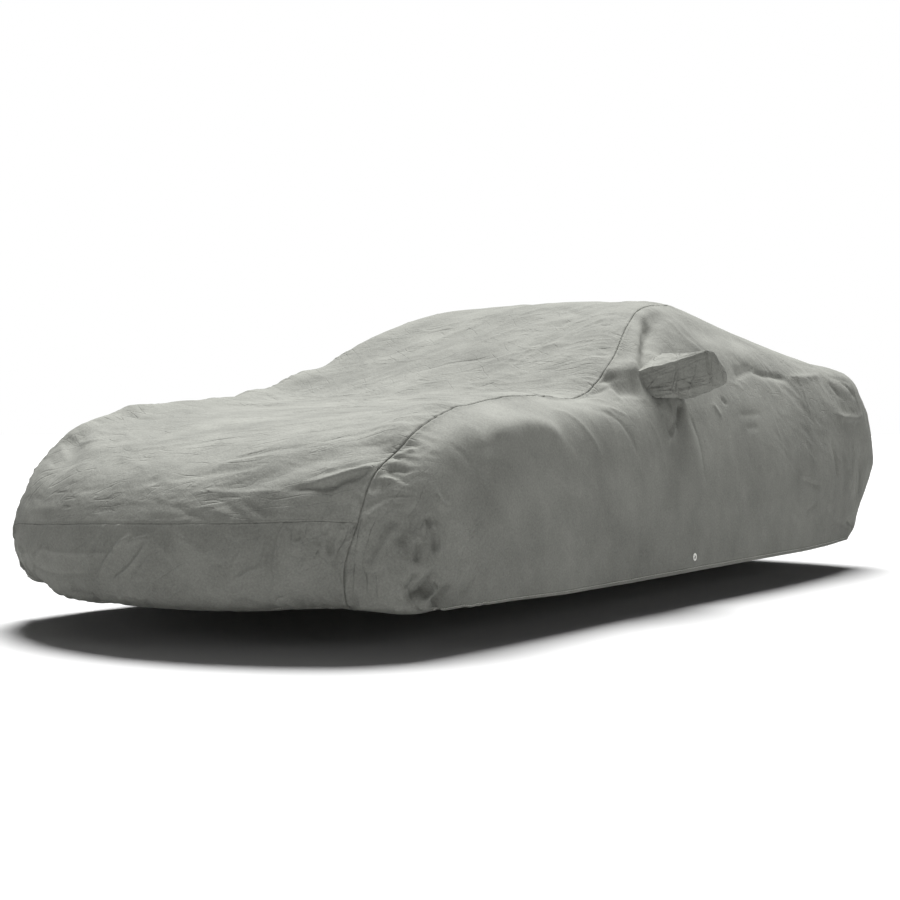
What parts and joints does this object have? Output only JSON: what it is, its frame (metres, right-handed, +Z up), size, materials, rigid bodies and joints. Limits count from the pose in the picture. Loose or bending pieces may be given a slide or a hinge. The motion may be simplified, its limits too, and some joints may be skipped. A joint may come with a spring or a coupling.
{
  "type": "car cover",
  "caption": "Fitted cloth cover for a low sports car, draped and hollow, with a seamed nose, mirror pockets and an eyelet in each side hem.",
  "frame": {"origin": "underside of the cloth at the roof's highest point, on the centre line, where the roof below carries the cover", "axes": "+X the cover's left side, which the picture shows, -Y its nose, +Y its tail, +Z up"},
  "size_m": [2.0186, 4.578, 1.1881],
  "materials": {
    "cloth": "matte non-woven",
    "eyelet_metal": "satin"
  },
  "bodies": {
    "root": {"top_panel": "cloth", "front_lower_panel": "cloth", "side_panel_left": "cloth", "side_panel_right": "cloth", "mirror_pocket_left": "cloth", "mirror_pocket_right": "cloth", "eyelet_strip_left": "cloth", "eyelet_strip_right": "cloth", "eyelet_ring_left": "eyelet_metal", "eyelet_ring_right": "eyelet_metal"}
  },
  "joints": []
}
